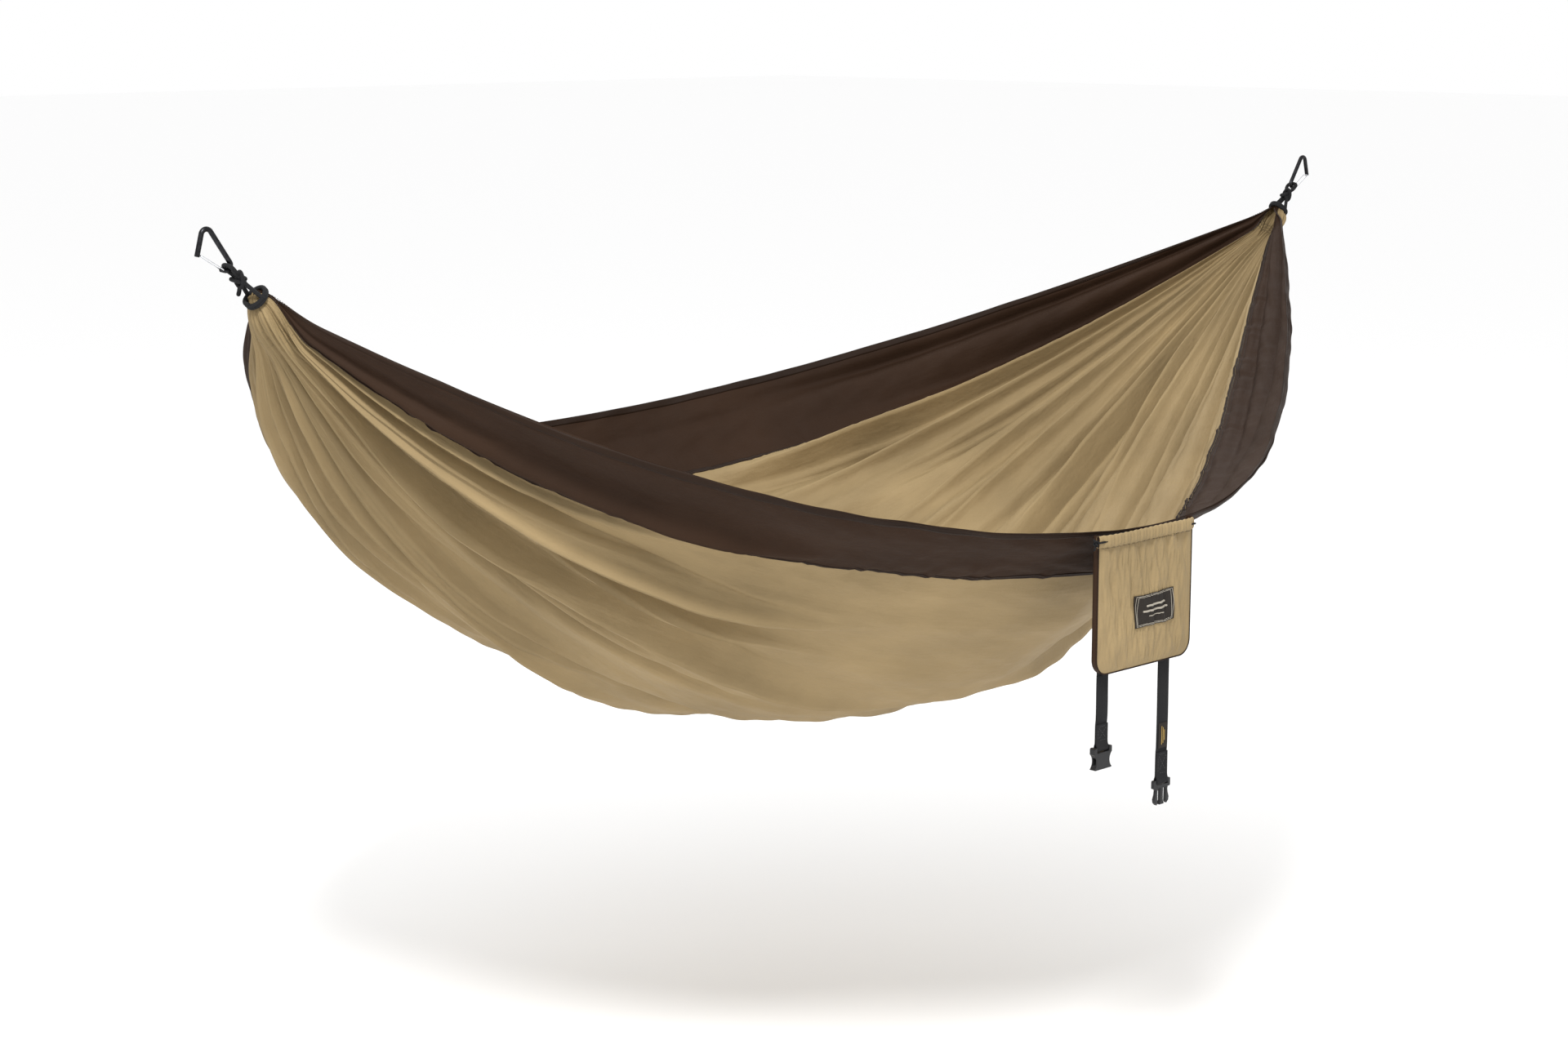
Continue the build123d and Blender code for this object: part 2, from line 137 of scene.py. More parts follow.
def section(t, u):
    """Points of the stations t at the widths u, as an array of t by u by 3."""
    t = t[:, None]
    u = u[None, :]
    (ay, az), (by, bz), (cy, cz) = (line_at(line, t) for line in (NEAR_SEAM, KEEL, FAR_SEAM))
    hem_y, hem_z = line_at(FAR_HEM, t)
    rise = FAR_SEAM_RISE * smoothstep((-t - 0.5) / 0.35)
    cy, cz = cy + (hem_y - cy) * rise, cz + (hem_z - cz) * rise
    py, pz, qy, qz = by - ay, bz - az, cy - ay, cz - az
    cross = 2 * (py * qz - pz * qy)
    p2, q2 = py**2 + pz**2, qy**2 + qz**2
    middle_y = ay + (qz * p2 - pz * q2) / cross
    middle_z = az + (py * q2 - qy * p2) / cross
    radius = np.hypot(ay - middle_y, az - middle_z)
    near_angle = np.arctan2(az - middle_z, ay - middle_y)
    far_angle = np.arctan2(cz - middle_z, cy - middle_y)
    share = np.clip((u - NEAR_SEAM_U) / CENTRE_W, 0, 1)
    angle = near_angle + (far_angle - near_angle) * share
    y = middle_y + radius * np.cos(angle)
    z = middle_z + radius * np.sin(angle)
    for hem, seam_y, seam_z, w in (
        (NEAR_HEM, ay, az, np.clip((NEAR_SEAM_U - u) / SIDE_W, 0, 1)),
        (FAR_HEM, cy, cz, np.clip((u - FAR_SEAM_U) / SIDE_W, 0, 1)),
    ):
        hem_y, hem_z = line_at(hem, t)
        dy, dz = hem_y - seam_y, hem_z - seam_z
        outward = np.sign(-dz * dz) if hem is NEAR_HEM else 1
        crown = 4 * SIDE_CROWN * w * (1 - w)
        y = y + dy * w + outward * dz * crown
        z = z + dz * w - abs(dy) * crown
    return np.stack([np.broadcast_to(HALF_CLOTH * t, y.shape), y, z], axis=-1)


def unit(vectors):
    return vectors / np.maximum(np.linalg.norm(vectors, axis=-1, keepdims=True), 1e-9)


def gathered_end(side, u):
    """Rows from the last station to the neck and up through the collar, for one end."""
    t = side * np.array([END_T - 0.004, END_T])
    before, last = section(t, u)
    heading = unit(last - before)
    pull = np.array([side * PULL.x, 0, PULL.z])
    down_out = np.array([side * PULL.z, 0, -PULL.x])
    neck = np.array([side * NECK.x, 0, NECK.z])
    turn = NECK_SPREAD * (2 * u / CLOTH_W - 1)
    radial = np.cos(turn)[:, None] * down_out + np.sin(turn)[:, None] * np.array([0, 1, 0])
    ring = neck + radial * (NECK_R - 0.5 * MM)
    reach = np.linalg.norm(ring - last, axis=-1, keepdims=True)
    swell = FLARE * (0.35 + 0.65 * (1 + np.cos(turn))[:, None] / 2)
    handle_in = last + heading * reach * 0.4
    handle_out = ring - pull * 14 * MM + radial * swell
    rows = []
    for s in np.linspace(0, 1, GATHER_ROWS + 1)[1:]:
        rows.append(
            (1 - s) ** 3 * last
            + 3 * s * (1 - s) ** 2 * handle_in
            + 3 * s**2 * (1 - s) * handle_out
            + s**3 * ring
        )
    for rise, shrink in ((0.5, 0), (1, 2.2 * MM), (1.35, 6.5 * MM), (1.45, 11.5 * MM)):
        rows.append(ring + pull * COLLAR_RISE * rise - radial * shrink)
    return np.stack(rows)


def base_cloth(u):
    """The smooth cloth before any fold, rows from the left neck to the right neck."""
    left, right = gathered_end(-1, u), gathered_end(1, u)
    return np.concatenate([left[::-1], section(station_t, u), right])


end_rows = GATHER_ROWS + 4
end_share = np.linspace(0, 1, end_rows + 1)[1:]
row_t = np.concatenate([-(END_T + (1 - END_T) * end_share)[::-1], station_t, END_T + (1 - END_T) * end_share])
row_along = row_t + BELLY_SHIFT * (1 - row_t * row_t)  # signed: 0 at the belly, 1 at an end

# =============================================================== cloth: folds
Fold = namedtuple("Fold", "side at width depth start run drift bend phase")


def make_folds(count, width, depth, start, run, inward):
    """Random folds that run from each end towards the belly, evenly spread across the cloth."""
    folds = []
    for side in (-1, 1):
        for k in range(count):
            at = (k + rng.uniform(0.15, 0.85)) / count * CLOTH_W
            sign = -1 if rng.random() < inward else 1
            folds.append(
                Fold(
                    side,
                    at,
                    rng.uniform(*width),
                    sign * rng.uniform(*depth),
                    rng.uniform(*start),
                    rng.uniform(*run),
                    rng.uniform(-0.05, 0.05),
                    rng.uniform(0.004, 0.012),
                    rng.uniform(0, 2 * math.pi),
                )
            )
    return folds


pleats = make_folds(27, (0.012, 0.022), (26 * MM, 42 * MM), (0.22, 0.62), (0.22, 0.42), 0.66)
creases = make_folds(12, (0.012, 0.024), (7 * MM, 14 * MM), (-0.05, 0.35), (0.2, 0.4), 0.6)
billows = make_folds(8, (0.045, 0.075), (8 * MM, 15 * MM), (-0.25, 0.2), (0.35, 0.6), 0.35)


def waves(u, v, lengths, count, seed):
    """A smooth random field of about unit height with the given wavelengths across and along."""
    source = np.random.default_rng(seed)
    total = np.zeros(np.broadcast(u, v).shape)
    for _ in range(count):
        ku, kv = source.normal(0, 1, 2) / lengths
        total += np.sin(2 * math.pi * (ku * u + kv * v) + source.uniform(0, 2 * math.pi))
    return total * math.sqrt(2 / count)


def steadiness(u):
    """Where the cloth can fold: less on a seam or a hem, and less in the narrow side panels."""
    keep = np.where((u < NEAR_SEAM_U) | (u > FAR_SEAM_U), 0.45, 1.0)
    for line_u, hold in ((0, 0.8), (NEAR_SEAM_U, 0.6), (FAR_SEAM_U, 0.6), (CLOTH_W, 0.8)):
        keep = keep * (1 - hold * np.exp(-(((u - line_u) / 0.022) ** 2)))
    return keep


FOLD_SHIFT = 0.8
neck_hold = 1 - 0.8 * smoothstep((np.abs(row_t) - 0.90) / 0.10)


def deep_folds(u, spread):
    """How far each point stands out in the folds that run from the ends. spread is the width that
    the gathered cloth takes up over its flat width, row by row and column by column."""
    height = np.zeros(spread.shape)
    for side in (-1, 1):
        mine = side * row_along > -0.3
        along = (side * row_along[mine])[:, None]
        room = spread[mine]
        for fold in pleats + creases + billows:
            if fold.side != side:
                continue
            at = fold.at + fold.drift * (1 - along) + fold.bend * np.sin(5 * along + fold.phase)
            grow = smoothstep((along - fold.start) / fold.run)
            shape = 1 / (1 + ((u[None, :] - at) / fold.width) ** 2) ** 1.5
            limit = 3.0 * fold.width * room
            depth = abs(fold.depth) * (1 - np.exp(-limit / abs(fold.depth)))
            height[mine] += math.copysign(1, fold.depth) * depth * grow * shape
    return height * steadiness(u)[None, :] * neck_hold[:, None]


def ripples(u, spread):
    """The small waves all over the cloth and the puckers beside its seams."""
    v = (row_t * CLOTH_L / 2)[:, None]
    uu = u[None, :]
    calm = np.minimum(1, spread * 1.6)
    height = 2.2 * MM * waves(uu, v, (0.28, 0.7), 7, 3)
    height = height + 0.7 * MM * waves(uu, v, (0.07, 0.16), 9, 4)
    for seam_u in (NEAR_SEAM_U, FAR_SEAM_U):
        beside = np.exp(-np.abs(uu - seam_u) / 0.045)
        pucker = waves(uu, v, (0.09, 0.03), 10, 5) * np.clip(waves(uu, v, (0.5, 0.12), 4, 6) + 0.6, 0, 1.4)
        height = height + 1.3 * MM * beside * pucker
    return height * calm


def base_and_normal(u):
    points = base_cloth(u)
    across = np.gradient(points, u, axis=1)
    normal = unit(np.cross(np.gradient(points, axis=0), across))
    return points, normal, np.linalg.norm(across, axis=-1)


MOST_GAIN = 2.1


def fit_rows():
    """Each row's fold gain, so that the row is as long as the flat cloth, and its mean height,
    which is taken off so that the ridges stay near the smooth base."""
    u = np.linspace(NEAR_SEAM_U, FAR_SEAM_U, 420)
    points, normal, spread = base_and_normal(u)
    folds, small = deep_folds(u, spread), ripples(u, spread)
    mean = folds.mean(axis=1)
    folds = folds - FOLD_SHIFT * mean[:, None] * steadiness(u)[None, :]
    gain = np.ones(len(row_t))
    for _ in range(14):
        folded = points + normal * (folds * gain[:, None] + small)[..., None]
        length = np.linalg.norm(np.diff(folded, axis=1), axis=-1).sum(axis=1)
        gain = np.clip(gain * np.clip(0.96 * CENTRE_W / length, 0.85, 1.18), 1, MOST_GAIN)
    window = np.hanning(41)
    return np.convolve(np.pad(gain, 20, "edge"), window / window.sum(), "valid"), mean


row_gain, row_mean = fit_rows()


def cloth(u, lift=0.0):
    """The folded cloth at the widths u, raised by lift, one for each width, along its normal."""
    points, normal, spread = base_and_normal(u)
    folds = deep_folds(u, spread) - FOLD_SHIFT * row_mean[:, None] * steadiness(u)[None, :]
    height = folds * row_gain[:, None] + ripples(u, spread)
    return points + normal * (height + lift)[..., None]


def panel(name, u_low, u_high, columns, node, material):
    """One sewn panel as a fine sheet between two widths."""
    u = np.linspace(u_low, u_high, columns)
    margin = np.array([u_low - 1.0 * MM]), np.array([u_high + 1.0 * MM])
    points = cloth(np.concatenate([margin[0], u, margin[1]]))[:, 1:-1]
    rows = points.shape[0]
    piece = new_object(name, points.reshape(-1, 3), grid_faces(rows, columns), "hammock")
    point_attribute(piece, "flat_u", np.broadcast_to(u[None, :], (rows, columns)))
    point_attribute(piece, "flat_v", np.broadcast_to((row_t * CLOTH_L / 2)[:, None], (rows, columns)))
    piece.data.materials.append(material)
    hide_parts(*node)
    return piece


# =============================================================== materials
class Nodes:
    """Short ways to add shader nodes to one material."""

    def __init__(self, name, slot_color, rough, metallic=0.0, sheen=0.0, coat=0.0, specular=0.5):
        self.material = bpy.data.materials.new(name)
        self.material.use_nodes = True
        self.tree = self.material.node_tree
        self.shader = self.tree.nodes["Principled BSDF"]
        for socket, value in (
            ("Base Color", (*slot_color, 1)),
            ("Roughness", rough),
            ("Metallic", metallic),
            ("Sheen Weight", sheen),
            ("Coat Weight", coat),
            ("Specular IOR Level", specular),
        ):
            self.shader.inputs[socket].default_value = value

    def add(self, kind, **inputs):
        node = self.tree.nodes.new(kind)
        for key, value in inputs.items():
            if hasattr(node, key):
                setattr(node, key, value)
            else:
                self.join(value, node.inputs[key.replace("_", " ")])
        return node

    def join(self, value, socket):
        if isinstance(value, bpy.types.NodeSocket):
            self.tree.links.new(value, socket)
        else:
            socket.default_value = value

    def math(self, operation, first, second=0.0):
        node = self.tree.nodes.new("ShaderNodeMath")
        node.operation = operation
        self.join(first, node.inputs[0])
        self.join(second, node.inputs[1])
        return node.outputs[0]

    def attribute(self, name):
        node = self.tree.nodes.new("ShaderNodeAttribute")
        node.attribute_name = name
        return node.outputs["Fac"]

    def position(self):
        return self.tree.nodes.new("ShaderNodeTexCoord").outputs["Object"]

    def stretched(self, scale):
        node = self.tree.nodes.new("ShaderNodeMapping")
        self.join(self.position(), node.inputs["Vector"])
        node.inputs["Scale"].default_value = scale
        return node.outputs[0]

    def noise(self, vector, scale, detail=3.0, roughness=0.5):
        node = self.tree.nodes.new("ShaderNodeTexNoise")
        self.join(vector, node.inputs["Vector"])
        node.inputs["Scale"].default_value = scale
        node.inputs["Detail"].default_value = detail
        node.inputs["Roughness"].default_value = roughness
        return node.outputs["Fac"]

    def ramp(self, value, low, high, low_at=0.3, high_at=0.7):
        node = self.tree.nodes.new("ShaderNodeValToRGB")
        node.color_ramp.elements[0].position = low_at
        node.color_ramp.elements[0].color = (*low, 1)
        node.color_ramp.elements[1].position = high_at
        node.color_ramp.elements[1].color = (*high, 1)
        self.join(value, node.inputs[0])
        return node.outputs[0]

    def combine(self, x, y):
        node = self.tree.nodes.new("ShaderNodeCombineXYZ")
        self.join(x, node.inputs[0])
        self.join(y, node.inputs[1])
        return node.outputs[0]

    def bump(self, height, distance, strength=1.0, after=None):
        node = self.tree.nodes.new("ShaderNodeBump")
        node.inputs["Strength"].default_value = strength
        node.inputs["Distance"].default_value = distance
        self.join(height, node.inputs["Height"])
        if after is not None:
            self.join(after, node.inputs["Normal"])
        self.join(node.outputs[0], self.shader.inputs["Normal"])
        return node.outputs[0]


def tint(color, factor):
    return tuple(c * factor for c in color)


def flat_position(nodes):
    """The place on the flat cloth, in metres, from the mesh's own attributes."""
    return nodes.combine(nodes.attribute("flat_u"), nodes.attribute("flat_v"))


def nylon(name, color, rough, crinkle=1.0, flat=True):
    """Fine crinkled nylon taffeta: soft colour variation, small crinkles and a plain weave."""
    nodes = Nodes(name, color, rough, specular=0.12)
    place = flat_position(nodes) if flat else nodes.position()
    broad = nodes.noise(place, 5, 4)
    nodes.join(nodes.ramp(broad, tint(color, 0.86), tint(color, 1.12)), nodes.shader.inputs["Base Color"])
    fine = nodes.noise(place, 70, 5, 0.6)
    first = nodes.bump(fine, 2.0 * MM * crinkle, 0.5)
    stretched = nodes.tree.nodes.new("ShaderNodeMapping")
    nodes.join(place, stretched.inputs["Vector"])
    stretched.inputs["Scale"].default_value = (1, 0.18, 1) if flat else (1, 1, 0.2)
    lengthwise = nodes.noise(stretched.outputs[0], 45, 4, 0.55)
    second = nodes.bump(lengthwise, 4.0 * MM * crinkle, 0.6, after=first)
    if flat:
        warp = nodes.math("SINE", nodes.math("MULTIPLY", nodes.attribute("flat_u"), 2 * math.pi / (0.9 * MM)))
        weft = nodes.math("SINE", nodes.math("MULTIPLY", nodes.attribute("flat_v"), 2 * math.pi / (0.9 * MM)))
        nodes.bump(nodes.math("MULTIPLY", warp, weft), 0.1 * MM, 0.35, after=second)
    rough_noise = nodes.noise(place, 30, 3)
    node = nodes.tree.nodes.new("ShaderNodeMapRange")
    nodes.join(rough_noise, node.inputs["Value"])
    node.inputs["To Min"].default_value = rough - 0.08
    node.inputs["To Max"].default_value = rough + 0.10
    nodes.join(node.outputs[0], nodes.shader.inputs["Roughness"])
    return nodes.material


def webbing_material(name, color):
    """Woven nylon webbing: ribs across the strap and a fine herringbone."""
    nodes = Nodes(name, color, 0.75, specular=0.15)
    u, v = nodes.attribute("flat_u"), nodes.attribute("flat_v")
    slant = nodes.math("ABSOLUTE", u)
    twill = nodes.math("SINE", nodes.math("MULTIPLY", nodes.math("ADD", slant, v), 2 * math.pi / (1.6 * MM)))
    rib = nodes.math("SINE", nodes.math("MULTIPLY", u, 2 * math.pi / (1.1 * MM)))
    weave = nodes.math("ADD", twill, nodes.math("MULTIPLY", rib, 0.6))
    nodes.bump(weave, 0.25 * MM, 0.8)
    shade = nodes.ramp(nodes.math("MULTIPLY_ADD", twill, 0.25), tint(color, 0.7), tint(color, 1.6), 0.2, 0.8)
    nodes.join(shade, nodes.shader.inputs["Base Color"])
    return nodes.material


def braid_material(name, color):
    """A braided cord sheath: two sets of strands that cross at an angle."""
    nodes = Nodes(name, color, 0.7, specular=0.15)
    around, along = nodes.attribute("around"), nodes.attribute("along")
    turns = nodes.math("MULTIPLY", around, 2 * math.pi * 8)
    steps = nodes.math("MULTIPLY", along, 2 * math.pi / (2.6 * MM))
    one = nodes.math("SINE", nodes.math("ADD", turns, steps))
    other = nodes.math("SINE", nodes.math("SUBTRACT", turns, steps))
    strands = nodes.math("MAXIMUM", one, other)
    nodes.bump(strands, 0.5 * MM, 0.9)
    shade = nodes.ramp(strands, tint(color, 0.45), tint(color, 1.5), 0.1, 0.9)
    nodes.join(shade, nodes.shader.inputs["Base Color"])
    return nodes.material


def plastic(name, color):
    nodes = Nodes(name, color, 0.42, specular=0.25)
    nodes.bump(nodes.noise(nodes.position(), 2600, 2), 0.04 * MM, 0.4)
    node = nodes.tree.nodes.new("ShaderNodeMapRange")
    nodes.join(nodes.noise(nodes.position(), 160, 3), node.inputs["Value"])
    node.inputs["To Min"].default_value = 0.34
    node.inputs["To Max"].default_value = 0.52
    nodes.join(node.outputs[0], nodes.shader.inputs["Roughness"])
    return nodes.material


def metal(name, color, rough, wear):
    """Metal with faint scratches along it and a colour that varies a little."""
    nodes = Nodes(name, color, rough, metallic=1.0, specular=0.5)
    grain = nodes.noise(nodes.stretched((1, 1, 0.08)), 1500, 2)
    nodes.bump(grain, 0.03 * MM, 0.3)
    patch = nodes.noise(nodes.position(), 220, 4)
    nodes.join(nodes.ramp(patch, color, wear, 0.45, 0.85), nodes.shader.inputs["Base Color"])
    return nodes.material


KHAKI = (0.265, 0.193, 0.098)
BROWN = (0.026, 0.0125, 0.0062)
BLACK = (0.012, 0.012, 0.013)
khaki = nylon("khaki_nylon", KHAKI, 0.62)
brown = nylon("brown_nylon", BROWN, 0.7, 0.8)
pouch_khaki = nylon("pouch_khaki_nylon", KHAKI, 0.55, 1.3, flat=False)
pouch_brown = nylon("pouch_brown_nylon", BROWN, 0.55, 0.8, flat=False)
seam_brown = nylon("seam_brown_nylon", tint(BROWN, 0.6), 0.6, 0.5, flat=False)
thread_brown = Nodes("brown_thread", tint(BROWN, 0.8), 0.6).material
thread_khaki = Nodes("khaki_thread", tint(KHAKI, 0.45), 0.6).material
thread_black = Nodes("black_thread", (0.03, 0.03, 0.032), 0.6).material
cord_black = braid_material("black_braid", (0.016, 0.016, 0.017))
webbing_black = webbing_material("black_webbing", BLACK)
plastic_black = plastic("black_acetal", (0.013, 0.013, 0.014))
anodised = metal("black_anodised", (0.022, 0.022, 0.024), 0.36, (0.045, 0.045, 0.048))
wire_steel = metal("stainless_wire", (0.62, 0.63, 0.65), 0.22, (0.5, 0.5, 0.52))
label_black = nylon("label_cloth", (0.022, 0.018, 0.015), 0.6, 0.3, flat=False)
label_thread = Nodes("label_thread", (0.30, 0.27, 0.22), 0.6).material
tag_thread = Nodes("tag_thread", (0.50, 0.33, 0.08), 0.5).material

# =============================================================== the three panels
centre = panel(
    "centre_cloth",
    NEAR_SEAM_U,
    FAR_SEAM_U,
    230,
    ("centre_panel", "left_end_gather", "right_end_gather"),
    khaki,
)
near_side = panel("near_side_cloth", 0, NEAR_SEAM_U, 34, ("near_side_panel",), brown)
far_side = panel("far_side_cloth", FAR_SEAM_U, CLOTH_W, 34, ("far_side_panel",), brown)


def sewn_band(name, u_from, u_to, half_thick, surface):
    """A closed flat band that follows the cloth between two widths: a seam or a hem."""
    out = np.linspace(u_from, u_to, 7)
    middle, half = (u_from + u_to) / 2, (u_to - u_from) / 2
    rise = half_thick * np.sqrt(1 - np.clip(np.abs(out - middle) / half, 0, 0.98) ** 4)
    top, bottom = cloth(out, rise), cloth(out, -rise)
    loop = np.concatenate([top, bottom[:, ::-1]], axis=1)
    rows, columns = loop.shape[:2]
    piece = new_object(name, loop.reshape(-1, 3), grid_faces(rows, columns, around=True), "hammock")
    piece.data.materials.append(surface)
    return piece


SEAM_HALF_W = 5 * MM
HEM_W = 13 * MM
near_seam = sewn_band(
    "near_seam", NEAR_SEAM_U - SEAM_HALF_W, NEAR_SEAM_U + SEAM_HALF_W, 1.0 * MM, seam_brown
)
far_seam = sewn_band(
    "far_seam", FAR_SEAM_U - SEAM_HALF_W, FAR_SEAM_U + SEAM_HALF_W, 1.0 * MM, seam_brown
)
near_hem = sewn_band("near_hem", 0.5 * MM, HEM_W, 1.5 * MM, seam_brown)
far_hem = sewn_band("far_hem", CLOTH_W - HEM_W, CLOTH_W - 0.5 * MM, 1.5 * MM, seam_brown)

# =============================================================== stitches
STITCH_PITCH = 4.2 * MM
STITCH_HALF = np.array([1.3, 0.28, 0.22]) * MM
BOX_CORNERS = np.array([[i, j, k] for i in (-1, 1) for j in (-1, 1) for k in (-1, 1)])
BOX_FACES = [(0, 1, 3, 2), (4, 6, 7, 5), (0, 4, 5, 1), (2, 3, 7, 6), (0, 2, 6, 4), (1, 5, 7, 3)]


def stitch_row(line, above):
    """Box corners of one row of stitches along a line, with above its points raised a little."""
    steps = np.linalg.norm(np.diff(line, axis=0), axis=1)
    reach = np.concatenate([[0], np.cumsum(steps)])
    at = np.arange(STITCH_PITCH, reach[-1] - STITCH_PITCH, STITCH_PITCH)
    place = np.stack([np.interp(at, reach, line[:, k]) for k in range(3)], axis=1)
    ahead = np.stack([np.interp(at + MM, reach, line[:, k]) for k in range(3)], axis=1)
    lifted = np.stack([np.interp(at, reach, above[:, k]) for k in range(3)], axis=1)
    along, up = unit(ahead - place), unit(lifted - place)
    side = unit(np.cross(up, along))
    frame_axes = np.stack([along, side, up], axis=1)
    offsets = BOX_CORNERS * STITCH_HALF
    return (place[:, None, :] + offsets @ frame_axes).reshape(-1, 3)


def stitches(name, lines, surface, body="hammock"):
    corners = np.concatenate([stitch_row(line, above) for line, above in lines])
    count = len(corners) // 8
    faces = [tuple(8 * i + k for k in face) for i in range(count) for face in BOX_FACES]
    piece = new_object(name, corners, faces, body)
    piece.data.polygons.foreach_set("use_smooth", [False] * len(faces))
    piece.data.materials.append(surface)
    return piece


def cloth_lines(widths, lift):
    """A line on each face of the cloth for each width."""
    u = np.array(widths)
    lines = []
    for face in (1, -1):
        low, high = cloth(u, np.full(len(u), face * lift)), cloth(u, np.full(len(u), face * (lift + MM)))
        lines += [(low[:, j], high[:, j]) for j in range(len(u))]
    return lines


SEAM_ROW = 2.6 * MM
near_seam_stitches = stitches(
    "near_seam_stitches",
    cloth_lines([NEAR_SEAM_U - SEAM_ROW, NEAR_SEAM_U, NEAR_SEAM_U + SEAM_ROW], 1.05 * MM),
    thread_brown,
)
far_seam_stitches = stitches(
    "far_seam_stitches",
    cloth_lines([FAR_SEAM_U - SEAM_ROW, FAR_SEAM_U, FAR_SEAM_U + SEAM_ROW], 1.05 * MM),
    thread_brown,
)
hem_stitches = stitches(
    "hem_stitches",
    cloth_lines([HEM_W - 3 * MM, CLOTH_W - HEM_W + 3 * MM], 1.5 * MM),
    thread_brown,
)


# =============================================================== tubes, cords and knots
def smooth_route(points, closed=False):
    """Points along the smooth spline of order 3 that the route's points control."""
    curve = bpy.data.curves.new("route", "CURVE")
    curve.dimensions = "3D"
    curve.resolution_u = 12
    spline = curve.splines.new("NURBS")
    spline.points.add(len(points) - 1)
    for place, point in zip(points, spline.points):
        point.co = (*place, 1)
    spline.order_u = 3
    spline.use_endpoint_u = not closed
    spline.use_cyclic_u = closed
    holder = bpy.data.objects.new("route", curve)
    bpy.context.scene.collection.objects.link(holder)
    mesh = bpy.data.meshes.new_from_object(holder)
    line = [Vector(v.co) for v in mesh.vertices]
    bpy.data.objects.remove(holder)
    bpy.data.meshes.remove(mesh)
    bpy.data.curves.remove(curve)
    return line


def tube(name, line, radius, body, surface, sides=14, closed=False, taper=0.0):
    """A round tube along a line, with its ends rounded off unless it is closed."""
    count = len(line)
    tangents = []
    for i in range(count):
        before = line[(i - 1) % count] if closed else line[max(i - 1, 0)]
        after = line[(i + 1) % count] if closed else line[min(i + 1, count - 1)]
        tangents.append((after - before).normalized())
    normal = tangents[0].orthogonal().normalized()
    rings, along, reach = [], [], 0.0
    if not closed:
        for share in (0.97, 0.8, 0.45):
            rings.append((line[0] - tangents[0] * radius * share, tangents[0], radius * math.sqrt(1 - share**2)))
    for i in range(count):
        rings.append((line[i], tangents[i], radius * (1 - taper * i / count)))
    if not closed:
        end_radius = rings[-1][2]
        for share in (0.45, 0.8, 0.97):
            ring_radius = end_radius * math.sqrt(1 - share**2)
            rings.append((line[-1] + tangents[-1] * end_radius * share, tangents[-1], ring_radius))
    points, arounds, alongs, last = [], [], [], None
    for centre_point, tangent, ring_radius in rings:
        normal = (normal - tangent * normal.dot(tangent)).normalized()
        across = tangent.cross(normal)
        if last is not None:
            reach += (centre_point - last).length
        last = centre_point
        for k in range(sides):
            turn = 2 * math.pi * k / sides
            points.append(centre_point + (normal * math.cos(turn) + across * math.sin(turn)) * ring_radius)
            arounds.append(abs(2 * k / sides - 1))
            alongs.append(reach)
    faces = grid_faces(len(rings), sides, around=True)
    if closed:
        last_row = (len(rings) - 1) * sides
        for k in range(sides):
            n = (k + 1) % sides
            faces.append((last_row + k, k, n, last_row + n))
    else:
        faces.append(tuple(range(sides)))
        faces.append(tuple(reversed(range((len(rings) - 1) * sides, len(rings) * sides))))
    piece = new_object(name, points, faces, body)
    point_attribute(piece, "around", arounds)
    point_attribute(piece, "along", alongs)
    piece.data.materials.append(surface)
    return piece


def in_cord_frame(side, run, across, out=0.0):
    """A point beside an end cord: run along the pull from the basket, across along Y, in mm."""
    pull = Vector((side * PULL.x, 0, PULL.z))
    outward = Vector((side * PULL.z, 0, -PULL.x))
    basket = Vector((side * BASKET.x, 0, BASKET.z))
    return basket + pull * run * MM + Vector((0, across * MM, 0)) + outward * out * MM


# the same route as the end cord's solid: up one leg, through the knot, round the bight and back
COLLAR_AT = -63.5
ROPE_ROUTE = [
    (COLLAR_AT, -16),
    (-37, -4),
    (-20, -3),
    (-13, -9),
    (0, -9),
    (0, 9),
    (-13, 9),
    (-20, 3),
    (-37, 4),
    (COLLAR_AT, 16),
]
KNOT_AT = -28


def end_cord(side, end):
    """One end's cord: the loop through the carabiner, its knot, a tail and the collar's turns."""
    loop_line = smooth_route([in_cord_frame(side, *point) for point in ROPE_ROUTE])
    loop = tube(f"{end}_cord_loop", loop_line, CORD_R, "hammock", cord_black)
    knot_points = []
    for i in range(140):
        s = 2 * math.pi * i / 140
        reach = 2.7 * (2 + math.cos(2 * s))
        run = KNOT_AT + 7.5 * math.sin(4 * s)
        knot_points.append(in_cord_frame(side, run, reach * math.cos(3 * s), reach * math.sin(3 * s)))
    knot = tube(f"{end}_knot", knot_points, 2.9 * MM, "hammock", cord_black, closed=True)
    tail_line = smooth_route(
        [in_cord_frame(side, *point) for point in ((-36, 3, 3), (-40, 7, 5), (-44, 10, 7), (-47, 12, 10))]
    )
    tail = tube(f"{end}_knot_tail", tail_line, CORD_R, "hammock", cord_black)
    collar_points = []
    for i in range(90):
        share = i / 89
        turn = 2 * math.pi * 2.25 * share
        run = COLLAR_AT - 4.2 + 7.4 * share
        radius = 15.6 + 0.5 * math.sin(3 * turn)
        collar_points.append(in_cord_frame(side, run, radius * math.cos(turn), radius * math.sin(turn)))
    collar = tube(f"{end}_collar", collar_points, CORD_R, "hammock", cord_black)
    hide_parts(f"{end}_end_cord")


for side, end in ((-1, "left"), (1, "right")):
    end_cord(side, end)
    bpy.data.objects[f"{end}_carabiner"].data.materials.clear()
    bpy.data.objects[f"{end}_carabiner"].data.materials.append(anodised)
    bpy.data.objects[f"{end}_gate"].data.materials.clear()
    bpy.data.objects[f"{end}_gate"].data.materials.append(wire_steel)
for node in ("female_buckle", "male_buckle", "male_buckle_arm_left", "male_buckle_arm_right"):
    bpy.data.objects[node].data.materials.clear()
    bpy.data.objects[node].data.materials.append(plastic_black)

